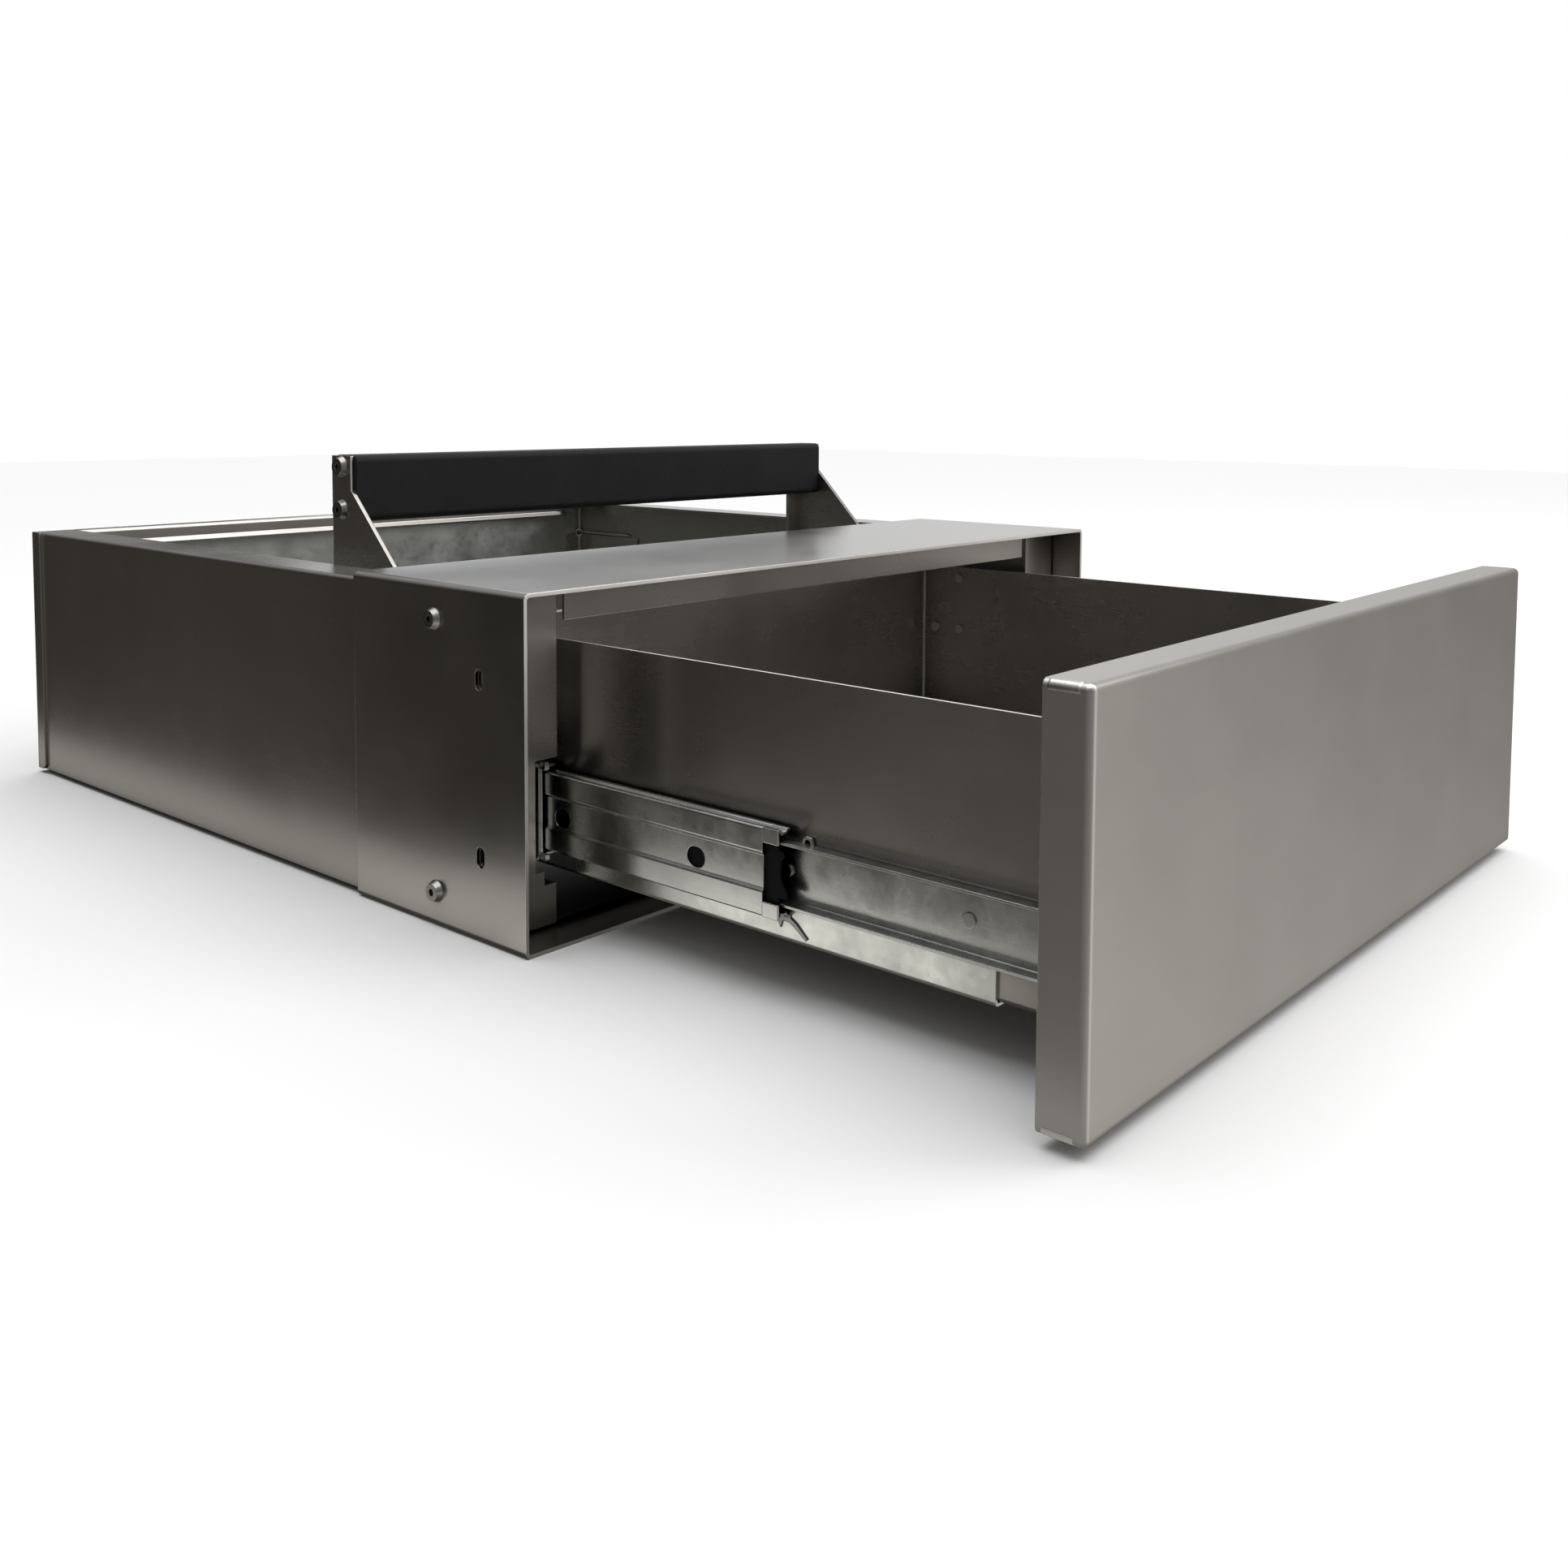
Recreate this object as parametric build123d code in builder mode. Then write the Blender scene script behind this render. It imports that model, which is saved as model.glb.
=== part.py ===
"""Bank teller deposit drawer.

A stainless mouth sleeve goes through the counter front and a long open tub runs back
from it under the counter.  The deposit drawer rides in the tub on two three-member
ball-bearing slides.  The teller pushes it out to the customer, and pulls it home, by the
black handle that stands up behind the drawer.

Frame, in millimetres: the origin is the centre of the sleeve's underside, +X is the
customer's right, +Y runs from the customer to the teller and +Z is up.  The drawer is
modelled pushed out; +Y travel closes it.
"""
import os

from build123d import *

# Mouth sleeve
sleeve_width = 512.0
sleeve_height = 175.0
sleeve_depth = 141.0
sleeve_wall = 2.0
sleeve_bend = 3.5
sleeve_screw_edge = 18.3
slot_pitch = 87.4
slot_drop = 1.0
slot_setback = 34.3
slot_length = 10.4
slot_width = 6.4

# Tub behind the sleeve
tub_wall = 1.5
tub_bend = 2.5
tub_side_gap = 0.2
tub_floor_gap = 1.5
tub_top_gap = 1.5
tub_flange = 27.0
tub_corner = 4.0
tub_rear_flange = 11.0
tub_rear_lip = 9.5
rim_flare = 3.0
tub_rear_wrap = 13.0
rim_end_gap = 1.0
corner_relief = 2.5
mouth_recess = 22.8
jamb_gap = 8.0
notch_gap = 9.3
notch_margin = 5.5
jamb_foot_inset = 2.5
jamb_foot_step = 6.0
jamb_foot_height = 20.5
jamb_foot_return = 11.0
top_rail_lip = 17.0
top_rail_depth = 38.0
top_rail_end_gap = 5.0

# Deposit drawer
slide_bay = 43.3
drawer_wall = 1.5
drawer_bend = 2.5
drawer_bottom = 28.8
drawer_headroom = 29.5
drawer_tail = 83.2
rear_hem = 6.0
support_gap = 2.35
support_turn = 20.0
support_setback = 43.0

# Front panel
panel_edge_gap = 3.5
panel_home_gap = 0.8
panel_depth = 20.0
panel_wall = 1.5
panel_bend = 3.0
panel_fit = 0.2
stiffener_crown = 40.0
stiffener_foot = 10.0
stiffener_pitch = 230.0
panel_screw_pitch = 110.0
panel_screw_drop = 25.0

# Drawer travel: the middle rails move half as far as the drawer
travel = 298.0
middle_share = 0.5

# Three-member slides
slide_height = 45.7
slide_metal = 1.2
slide_bend = 1.0
slide_length = 305.0
slide_rise = 30.7
slide_setback = 7.2
cabinet_lip_reach = 2.8
middle_length = 296.0
middle_home = 1.5
middle_bend = 0.65
middle_lip_gap = 2.4
middle_lip = 1.6
middle_web_gap = 0.9
middle_band = 15.0
middle_band_slope = 1.5
middle_band_inset = 0.9
groove_slope = 0.9
groove_trim = 0.2
groove_spare = 0.1
bead_depth = 1.4
lozenge_count = 3
lozenge_pitch = 93.0
lozenge_setback = 41.5
lozenge_drop = 2.0
lozenge_length = 11.4
lozenge_width = 9.6
ball_diameter = 3.0
ball_play = 0.025
ball_side_play = 0.2
ball_pitch = 20.0
balls_in_row = 5
cage_metal = 0.5
cage_bend = 0.8
cage_leg = 2.0
cage_length = 100.0
outer_cage_setback = 8.0
inner_cage_lead = 7.5
inner_cage_play = 0.1
pocket_play = 0.15
drawer_rail_gap = 2.0
drawer_rail_play = 0.15
rail_rivet_count = 3
rail_rivet_pitch = 96.0
rail_rivet_inset = 54.0
rail_rivet_radius = 2.0
rivet_head_radius = 3.2
rivet_head_height = 0.9
rivet_play = 0.05
channel_metal = 1.5
channel_bend = 2.0
channel_margin = 1.2
channel_nut_gap = 3.1

# Corner gussets at the back of the tub
gusset_length = 82.0
gusset_leg = 16.0
gusset_low = 60.0
gusset_headroom = 32.5

# Handle
handle_depth = 21.5
handle_height = 39.0
handle_above_sleeve = 19.3
handle_round = 4.0
grip_wall = 3.0
handle_behind_drawer = 103.0
bracket_metal = 2.5
bracket_fit = 0.05
bracket_bend = 3.5
bracket_return = 14.0
bracket_edge_setback = 2.5
bracket_top_drop = 0.5
bracket_slant_drop = 20.3
bracket_slide_gap = 9.65
bracket_arm_drop = 1.0
bracket_overlap = 46.0
bracket_corner = 5.0
bumper_radius = 6.0
bumper_length = 12.95
bumper_rise = 20.0
bumper_gap = 0.3

# Screws
sleeve_screw_radius = 3.15
sleeve_head_radius = 5.7
sleeve_head_height = 3.3
button_head_taper = 22.0
sleeve_screw_length = 10.0
nut_across_flats = 11.1
nut_height = 5.5
handle_screw_radius = 3.0
handle_head_radius = 6.3
handle_head_height = 3.2
handle_screw_edge = 3.9
handle_screw_length = 21.0
handle_hole_depth = 22.0
bracket_rivet_drop = 8.5
bracket_rivet_rise = 8.0
bracket_rivet_inset = 12.0
bracket_rivet_spread = 21.0
bracket_rivet_radius = 2.0
bracket_rivet_head = 3.4
panel_screw_radius = 2.4
panel_screw_head = 4.6
panel_screw_head_height = 2.2
pan_head_taper = 25.0
screw_play = 0.05
socket_radius = 2.0
socket_depth = 1.6

# How far a cutter runs past the sheet it cuts
overshoot = 1.0

# The slide's section, as distances out from the drawer's wall and up from its own centre
ball_radius = ball_diameter / 2
ball_room = ball_diameter + 2 * ball_play
middle_lip_out = middle_lip_gap + middle_lip
ball_lane = middle_lip_out + groove_slope + ball_radius - groove_trim
inner_cage_web = ball_lane + ball_radius + ball_side_play + cage_metal / 2
middle_band_web = inner_cage_web + cage_metal / 2 + inner_cage_play + slide_metal / 2
middle_web = middle_band_web + middle_band_inset
slide_thickness = middle_web + slide_metal / 2 + middle_web_gap + slide_metal
slide_half = slide_height / 2
web_line = slide_thickness - slide_metal / 2
cabinet_line = slide_half - slide_metal / 2
groove_line = cabinet_line - ball_room - slide_metal
bead_line = groove_line + bead_depth
drawer_rail_line = groove_line - ball_room - slide_metal
drawer_rail_lip = inner_cage_web - cage_metal / 2 - drawer_rail_play
outer_ball_line = (cabinet_line + groove_line) / 2
inner_ball_line = (groove_line + drawer_rail_line) / 2

# Places across and up
tub_half = sleeve_width / 2 - sleeve_wall - tub_side_gap
tub_low = sleeve_wall + tub_floor_gap
tub_top = sleeve_height - sleeve_wall - tub_top_gap
drawer_half = tub_half - tub_wall - slide_bay
drawer_top = sleeve_height - drawer_headroom
panel_half = sleeve_width / 2 - sleeve_wall - panel_edge_gap
panel_bottom = sleeve_wall + panel_edge_gap
panel_top = sleeve_height - sleeve_wall - panel_edge_gap
slide_face = drawer_half + slide_thickness
slide_centre = drawer_bottom + slide_rise
jamb_inner = drawer_half + jamb_gap
notch_inner = slide_face + notch_gap
handle_bottom = sleeve_height + handle_above_sleeve
handle_top = handle_bottom + handle_height
bracket_face = drawer_half + bracket_metal
bracket_arm_bottom = slide_centre + slide_half + bracket_slide_gap
bracket_arm_top = drawer_top - bracket_arm_drop

# Places along the travel, with the drawer pushed out
mouth_y = -sleeve_depth / 2
jamb_y = mouth_y + mouth_recess
panel_back = jamb_y - travel - panel_home_gap
panel_front = panel_back - panel_depth
drawer_back = jamb_y + drawer_tail
drawer_length = drawer_back - panel_back
slide_front = jamb_y + slide_setback
middle_front = slide_front + middle_home - middle_share * travel
drawer_rail_front = panel_back + drawer_rail_gap
handle_front = drawer_back + handle_behind_drawer
handle_back = handle_front + handle_depth
bracket_back = handle_back + bracket_metal + bracket_fit
tub_back = bracket_back + travel + bumper_gap + bumper_length + tub_wall


def write(piece, name):
    """Label a finished piece and write it to its own file."""
    piece.part.label = name
    export_step(piece.part, f"parts/{name}.step")


def box_between(low, high, mode=Mode.ADD):
    """A box from its lowest to its highest corner, in the current part."""
    centre = [(a + b) / 2 for a, b in zip(low, high)]
    size = [b - a for a, b in zip(low, high)]
    with Locations(tuple(centre)):
        Box(*size, mode=mode)


def write_pair(piece, stem):
    """Write a left-hand piece and its mirror image as the right-hand one."""
    with BuildPart() as twin:
        mirror(piece.part, about=Plane.YZ)
    write(piece, f"{stem}_left")
    write(twin, f"{stem}_right")


def facing_right(x):
    """The plane at x whose normal is +X, drawn in Y and Z."""
    return Plane(origin=(x, 0, 0), x_dir=(0, 1, 0), z_dir=(1, 0, 0))


def facing_out(side, distance):
    """The plane that far from the middle, facing outward on one side (-1 or 1)."""
    return Plane(origin=(side * distance, 0, 0), x_dir=(0, 1, 0), z_dir=(side, 0, 0))


def facing_front(y):
    """The plane at y whose normal is -Y, drawn in X and Z."""
    return Plane.XZ.offset(-y)


os.makedirs("parts", exist_ok=True)

# ---------------------------------------------------------------- mouth sleeve
sleeve_screw_places = [(0.0, sleeve_screw_edge), (0.0, sleeve_height - sleeve_screw_edge)]
slot_y = mouth_y + slot_setback
slot_middle = sleeve_height / 2 - slot_drop
slot_places = [(slot_y, slot_middle + side * slot_pitch / 2) for side in (-1, 1)]

# the slots and screw holes run through both walls of the sleeve and of the tub
with BuildPart() as side_holes:
    with BuildSketch(facing_right(-sleeve_width)):
        with Locations(*sleeve_screw_places):
            Circle(sleeve_screw_radius + screw_play)
        with Locations(*slot_places):
            SlotOverall(slot_length, slot_width, rotation=90)
    extrude(amount=2 * sleeve_width)

with BuildPart() as mouth_sleeve:
    with BuildSketch(facing_front(sleeve_depth / 2)):
        with Locations((0, sleeve_height / 2)):
            RectangleRounded(sleeve_width, sleeve_height, sleeve_bend)
            RectangleRounded(
                sleeve_width - 2 * sleeve_wall,
                sleeve_height - 2 * sleeve_wall,
                sleeve_bend - sleeve_wall,
                mode=Mode.SUBTRACT,
            )
    extrude(amount=sleeve_depth)
    add(side_holes.part, mode=Mode.SUBTRACT)
write(mouth_sleeve, "mouth_sleeve")

# ------------------------------------------------------------------------- tub
notch_low = slide_centre - slide_half - notch_margin
notch_high = slide_centre + slide_half + notch_margin
foot_inner = jamb_inner + jamb_foot_inset
foot_top = tub_low + jamb_foot_height

with BuildPart() as tub_side:
    tub_line = -tub_half + tub_wall / 2
    with BuildSketch(Plane.XY.offset(tub_low)):
        with BuildLine():
            FilletPolyline(
                (-jamb_inner, jamb_y + tub_wall / 2),
                (tub_line, jamb_y + tub_wall / 2),
                (tub_line, jamb_y + tub_corner),
                radius=tub_bend - tub_wall / 2,
            )
        trace(line_width=tub_wall)
    extrude(amount=tub_top - tub_low)
    # behind the jamb the wall's top is folded inward as a stiffening flange
    with BuildSketch(facing_front(tub_back - tub_bend)):
        with BuildLine():
            FilletPolyline(
                (tub_line, tub_low),
                (tub_line, tub_top - tub_wall / 2),
                (-tub_half + tub_flange, tub_top - tub_wall / 2),
                radius=tub_bend - tub_wall / 2,
            )
        trace(line_width=tub_wall)
    extrude(amount=tub_back - tub_bend - jamb_y - tub_corner)
    # the slide passes the jamb through a notch, and the jamb's foot steps inward
    box_between(
        (-notch_inner, jamb_y - overshoot, notch_low),
        (-jamb_inner + overshoot, jamb_y + tub_wall + overshoot, notch_high),
        mode=Mode.SUBTRACT,
    )
    box_between(
        (-foot_inner, jamb_y - overshoot, tub_low - overshoot),
        (-jamb_inner + overshoot, jamb_y + tub_wall + overshoot, notch_low + overshoot),
        mode=Mode.SUBTRACT,
    )
    box_between(
        (-foot_inner - jamb_foot_step, jamb_y - overshoot, foot_top),
        (-foot_inner + overshoot, jamb_y + tub_wall + overshoot, notch_low + overshoot),
        mode=Mode.SUBTRACT,
    )
    # the foot's inner edge is folded back
    box_between(
        (-foot_inner, jamb_y, tub_low),
        (-foot_inner + tub_wall, jamb_y + jamb_foot_return, foot_top),
    )
    add(side_holes.part, mode=Mode.SUBTRACT)
write_pair(tub_side, "tub_side")

with BuildPart() as tub_floor:
    box_between(
        (-tub_half + tub_wall, jamb_y + tub_bend, tub_low),
        (tub_half - tub_wall, tub_back - tub_wall, tub_low + tub_wall),
    )
    for side in (-1, 1):
        foot_face = side * (foot_inner - tub_wall / 2)
        foot_end = jamb_y + jamb_foot_return
        box_between(
            (foot_face - tub_wall, jamb_y - overshoot, tub_low - overshoot),
            (foot_face + tub_wall, foot_end + overshoot, tub_low + tub_wall + overshoot),
            mode=Mode.SUBTRACT,
        )
write(tub_floor, "tub_floor")

wrap_half = tub_half + tub_wall
wrap_front = tub_back - tub_rear_wrap
with BuildPart() as tub_rear_wall:
    with BuildSketch(Plane.XY.offset(tub_low)):
        with BuildLine():
            FilletPolyline(
                (-wrap_half + tub_wall / 2, wrap_front),
                (-wrap_half + tub_wall / 2, tub_back - tub_wall / 2),
                (wrap_half - tub_wall / 2, tub_back - tub_wall / 2),
                (wrap_half - tub_wall / 2, wrap_front),
                radius=tub_bend - tub_wall / 2,
            )
        trace(line_width=tub_wall)
    extrude(amount=tub_top - tub_low)
    # rolled rim: inward flange, turned-down lip and a flared edge
    rim_half = tub_half - tub_flange - rim_end_gap
    lip_line = tub_back - tub_rear_flange + tub_wall / 2
    lip_end = tub_top - tub_rear_lip
    with BuildSketch(facing_right(-rim_half)):
        with BuildLine():
            FilletPolyline(
                (tub_back - tub_wall, tub_top - tub_wall / 2),
                (lip_line, tub_top - tub_wall / 2),
                (lip_line, lip_end),
                (lip_line - rim_flare, lip_end - rim_flare),
                radius=tub_bend - tub_wall / 2,
            )
        trace(line_width=tub_wall)
    extrude(amount=2 * rim_half)
    # the wrapped corners are relieved at the bottom bend
    for side in (-1, 1):
        with BuildSketch(facing_right(side * wrap_half - 2 * tub_wall)):
            with BuildLine():
                Polyline(
                    (wrap_front - overshoot, tub_low - overshoot),
                    (wrap_front - overshoot, tub_low + corner_relief + overshoot),
                    (wrap_front + 2 * corner_relief, tub_low - overshoot),
                    close=True,
                )
            make_face()
        extrude(amount=4 * tub_wall, mode=Mode.SUBTRACT)
write(tub_rear_wall, "tub_rear_wall")

top_rail_half = jamb_inner - top_rail_end_gap
with BuildPart() as top_rail:
    rail_top = sleeve_height - sleeve_wall
    with BuildSketch(Plane.YZ.offset(-top_rail_half)):
        with BuildLine():
            FilletPolyline(
                (jamb_y + tub_wall / 2, rail_top - top_rail_lip),
                (jamb_y + tub_wall / 2, rail_top - tub_wall / 2),
                (jamb_y + top_rail_depth, rail_top - tub_wall / 2),
                radius=tub_bend - tub_wall / 2,
            )
        trace(line_width=tub_wall)
    extrude(amount=2 * top_rail_half)
write(top_rail, "top_rail")

# button-head screws hold the sleeve to the tub, in nuts welded inside the tub
with BuildPart() as sleeve_screws:
    for side in (-1, 1):
        outward = facing_out(side, sleeve_width / 2)
        for y, z in sleeve_screw_places:
            place = (y, side * z)
            with BuildSketch(outward):
                with Locations(place):
                    Circle(sleeve_head_radius)
            extrude(amount=sleeve_head_height, taper=button_head_taper)
            with BuildSketch(outward.offset(sleeve_head_height - socket_depth)):
                with Locations(place):
                    RegularPolygon(socket_radius, 6)
            extrude(amount=socket_depth, mode=Mode.SUBTRACT)
            with BuildSketch(outward):
                with Locations(place):
                    Circle(sleeve_screw_radius)
            extrude(amount=-sleeve_screw_length)
write(sleeve_screws, "sleeve_screws")

with BuildPart() as sleeve_nuts:
    for side in (-1, 1):
        with BuildSketch(facing_out(side, tub_half - tub_wall)):
            with Locations(*[(y, side * z) for y, z in sleeve_screw_places]):
                RegularPolygon(nut_across_flats / 2, 6, major_radius=False)
                Circle(sleeve_screw_radius + screw_play, mode=Mode.SUBTRACT)
        extrude(amount=-nut_height)
write(sleeve_nuts, "sleeve_nuts")

# corner gussets brace the tub's rear corners
with BuildPart() as rear_gusset:
    side_face = -tub_half + tub_wall
    rear_face = tub_back - tub_wall
    gusset_high = tub_top - gusset_headroom
    box_between(
        (side_face, rear_face - gusset_length, gusset_low),
        (side_face + tub_wall, rear_face, gusset_high),
    )
    box_between(
        (side_face, rear_face - tub_wall, gusset_low),
        (side_face + gusset_leg, rear_face, gusset_high),
    )
write_pair(rear_gusset, "rear_gusset")

# ---------------------------------------------------------------------- drawer
slide_rivet_ys = [rail_rivet_inset + i * rail_rivet_pitch for i in range(rail_rivet_count)]
drawer_rivet_places = [(drawer_rail_front + y, slide_centre) for y in slide_rivet_ys]
bracket_rivet_top = drawer_top - bracket_rivet_drop
bracket_rivet_low = bracket_arm_bottom + bracket_rivet_rise
bracket_rivet_y = drawer_back - bracket_rivet_inset - bracket_rivet_spread
bracket_rivet_places = [
    (bracket_rivet_y, bracket_rivet_top),
    (bracket_rivet_y, bracket_rivet_low),
    (bracket_rivet_y + bracket_rivet_spread, bracket_rivet_low),
]
panel_screw_zs = (drawer_bottom + panel_screw_drop, drawer_top - panel_screw_drop)
panel_screw_places = [
    (x, z) for x in (-panel_screw_pitch, panel_screw_pitch) for z in panel_screw_zs
]

# rivet holes through the drawer's sides, its slides and the handle's arms
with BuildPart() as rivet_holes:
    with BuildSketch(facing_right(-sleeve_width)):
        with Locations(*drawer_rivet_places):
            Circle(rail_rivet_radius + rivet_play)
        with Locations(*bracket_rivet_places):
            Circle(bracket_rivet_radius + rivet_play)
    extrude(amount=2 * sleeve_width)

with BuildPart() as drawer_tray:
    wall_line = drawer_half - drawer_wall / 2
    floor_line = drawer_bottom + drawer_wall / 2
    with BuildSketch(facing_front(drawer_back)):
        with BuildLine():
            FilletPolyline(
                (-wall_line, drawer_top),
                (-wall_line, floor_line),
                (wall_line, floor_line),
                (wall_line, drawer_top),
                radius=drawer_bend - drawer_wall / 2,
            )
        trace(line_width=drawer_wall)
    extrude(amount=drawer_length)
    add(rivet_holes.part, mode=Mode.SUBTRACT)
write(drawer_tray, "drawer_tray")

end_half = drawer_half - drawer_wall
end_low = drawer_bottom + drawer_wall
with BuildPart() as drawer_rear_wall:
    with BuildSketch(facing_front(drawer_back)):
        with Locations((0, (end_low + drawer_top) / 2)):
            Rectangle(2 * end_half, drawer_top - end_low)
        chamfer(vertices().group_by(Axis.Y)[0], drawer_bend)
    extrude(amount=drawer_wall)
    box_between(
        (-end_half, drawer_back - drawer_wall, drawer_top - drawer_wall),
        (end_half, drawer_back + rear_hem, drawer_top),
    )
write(drawer_rear_wall, "drawer_rear_wall")

with BuildPart() as drawer_front_wall:
    with BuildSketch(facing_front(panel_back + drawer_wall)):
        with Locations((0, (end_low + drawer_top) / 2)):
            Rectangle(2 * end_half, drawer_top - end_low)
        chamfer(vertices().group_by(Axis.Y)[0], drawer_bend)
        with Locations(*panel_screw_places):
            Circle(panel_screw_radius + screw_play, mode=Mode.SUBTRACT)
    extrude(amount=drawer_wall)
write(drawer_front_wall, "drawer_front_wall")

support_top = slide_centre - drawer_rail_line - slide_metal / 2 - support_gap
with BuildPart() as support_angle:
    with BuildSketch(facing_front(drawer_back)):
        with BuildLine():
            FilletPolyline(
                (-drawer_half - drawer_wall / 2, support_top),
                (-drawer_half - drawer_wall / 2, drawer_bottom - drawer_wall / 2),
                (-drawer_half + support_turn, drawer_bottom - drawer_wall / 2),
                radius=drawer_wall,
            )
        trace(line_width=drawer_wall)
    extrude(amount=drawer_length - support_setback)
write_pair(support_angle, "support_angle")

# ----------------------------------------------------------------- front panel
with BuildPart() as front_panel:
    box_between((-panel_half, panel_front, panel_bottom), (panel_half, panel_back, panel_top))
    outline = front_panel.edges().filter_by(Axis.Y)
    fillet(outline + front_panel.faces().sort_by(Axis.Y)[0].edges(), radius=panel_bend)
    offset(amount=-panel_wall, openings=front_panel.faces().sort_by(Axis.Y)[-1])
write(front_panel, "front_panel")

with BuildPart() as panel_back_cover:
    with BuildSketch(facing_front(panel_back)):
        with Locations((0, (panel_bottom + panel_top) / 2)):
            RectangleRounded(
                2 * (panel_half - panel_wall - panel_fit),
                panel_top - panel_bottom - 2 * (panel_wall + panel_fit),
                panel_bend - panel_wall,
            )
        with Locations(*panel_screw_places):
            Circle(panel_screw_radius + screw_play, mode=Mode.SUBTRACT)
    extrude(amount=panel_wall)
write(panel_back_cover, "panel_back_cover")

# hat stiffeners fill the depth between the panel's skin and its back cover
with BuildPart() as panel_stiffeners:
    skin = panel_front + panel_wall + panel_wall / 2
    crown = panel_back - panel_wall - panel_wall / 2
    crown_half = stiffener_crown / 2
    stiffener_bottom = panel_bottom + panel_wall + panel_bend
    stiffener_top = panel_top - panel_wall - panel_bend
    for x in (-stiffener_pitch / 2, stiffener_pitch / 2):
        with BuildSketch(Plane.XY.offset(stiffener_bottom)):
            with BuildLine():
                FilletPolyline(
                    (x - crown_half - stiffener_foot, skin),
                    (x - crown_half, skin),
                    (x - crown_half, crown),
                    (x + crown_half, crown),
                    (x + crown_half, skin),
                    (x + crown_half + stiffener_foot, skin),
                    radius=panel_wall,
                )
            trace(line_width=panel_wall)
        extrude(amount=stiffener_top - stiffener_bottom)
write(panel_stiffeners, "panel_stiffeners")

with BuildPart() as panel_screws:
    with BuildSketch(facing_front(panel_back + drawer_wall)):
        with Locations(*panel_screw_places):
            Circle(panel_screw_radius)
    extrude(amount=drawer_wall + panel_wall)
    with BuildSketch(facing_front(panel_back + drawer_wall)):
        with Locations(*panel_screw_places):
            Circle(panel_screw_head)
    extrude(amount=-panel_screw_head_height, taper=pan_head_taper)
write(panel_screws, "panel_screws")

# ---------------------------------------------------------------------- slides
def left_path(*points):
    """Slide points as (distance out from the drawer wall, height from its centre)."""
    return [(-drawer_half - out, slide_centre + up) for out, up in points]


def mirrored_path(*upper):
    """A path over the upper half of a slide and back through the lower half."""
    lower = [(out, -up) for out, up in reversed(upper)]
    return left_path(*upper, *lower)


cabinet_rivet_places = [(slide_front + y, slide_centre) for y in slide_rivet_ys]

# rivet holes through the fixed rail and the channel that carries it
with BuildPart() as cabinet_rivet_holes:
    with BuildSketch(facing_right(-slide_face - channel_metal - overshoot)):
        with Locations(*cabinet_rivet_places):
            Circle(rail_rivet_radius + rivet_play)
    extrude(amount=slide_metal + channel_metal + 2 * overshoot)

with BuildPart() as cabinet_rail:
    with BuildSketch(facing_front(slide_front + slide_length)):
        with BuildLine():
            FilletPolyline(
                *mirrored_path(
                    (ball_lane - cabinet_lip_reach, cabinet_line), (web_line, cabinet_line)
                ),
                radius=2 * slide_bend,
            )
        trace(line_width=slide_metal)
    extrude(amount=slide_length)
    add(cabinet_rivet_holes.part, mode=Mode.SUBTRACT)
write_pair(cabinet_rail, "cabinet_rail")

groove_end = ball_lane + ball_radius - groove_spare
with BuildPart() as middle_rail:
    with BuildSketch(facing_front(middle_front + middle_length)):
        with BuildLine():
            FilletPolyline(
                *mirrored_path(
                    (middle_lip_gap, bead_line),
                    (middle_lip_out, bead_line),
                    (middle_lip_out + groove_slope, groove_line),
                    (groove_end, groove_line),
                    (groove_end + groove_slope, bead_line),
                    (middle_web, bead_line),
                    (middle_web, middle_band / 2 + middle_band_slope),
                    (middle_band_web, middle_band / 2),
                ),
                radius=middle_bend,
            )
        trace(line_width=slide_metal)
    extrude(amount=middle_length)
    with BuildSketch(facing_right(-slide_face)):
        for i in range(lozenge_count):
            lozenge_y = middle_front + lozenge_setback + i * lozenge_pitch
            with Locations((lozenge_y, slide_centre - lozenge_drop)):
                SlotOverall(lozenge_length, lozenge_width)
    extrude(amount=slide_thickness / 2, mode=Mode.SUBTRACT)
write_pair(middle_rail, "middle_rail")

with BuildPart() as drawer_rail:
    with BuildSketch(facing_front(drawer_rail_front + slide_length)):
        with BuildLine():
            FilletPolyline(
                *mirrored_path(
                    (drawer_rail_lip, drawer_rail_line), (slide_metal / 2, drawer_rail_line)
                ),
                radius=slide_bend,
            )
        trace(line_width=slide_metal)
    extrude(amount=slide_length)
    add(rivet_holes.part, mode=Mode.SUBTRACT)
write_pair(drawer_rail, "drawer_rail")


def cage(web_out, leg_line, ball_line, front):
    """A bent strip that holds two rows of balls, and the balls in it."""
    first = front + (cage_length - (balls_in_row - 1) * ball_pitch) / 2
    ball_places = [(first + i * ball_pitch, side) for i in range(balls_in_row) for side in (-1, 1)]
    with BuildPart() as strip:
        with BuildSketch(facing_front(front + cage_length)):
            with BuildLine():
                FilletPolyline(
                    *mirrored_path((ball_lane - cage_leg, leg_line), (web_out, leg_line)),
                    radius=cage_bend,
                )
            trace(line_width=cage_metal)
        extrude(amount=cage_length)
        for y, side in ball_places:
            with Locations((-drawer_half - ball_lane, y, slide_centre + side * leg_line)):
                Cylinder(ball_radius + pocket_play, 4 * cage_metal, mode=Mode.SUBTRACT)
    with BuildPart() as balls:
        for y, side in ball_places:
            with Locations((-drawer_half - ball_lane, y, slide_centre + side * ball_line)):
                Sphere(ball_radius)
    return strip, balls


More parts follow.
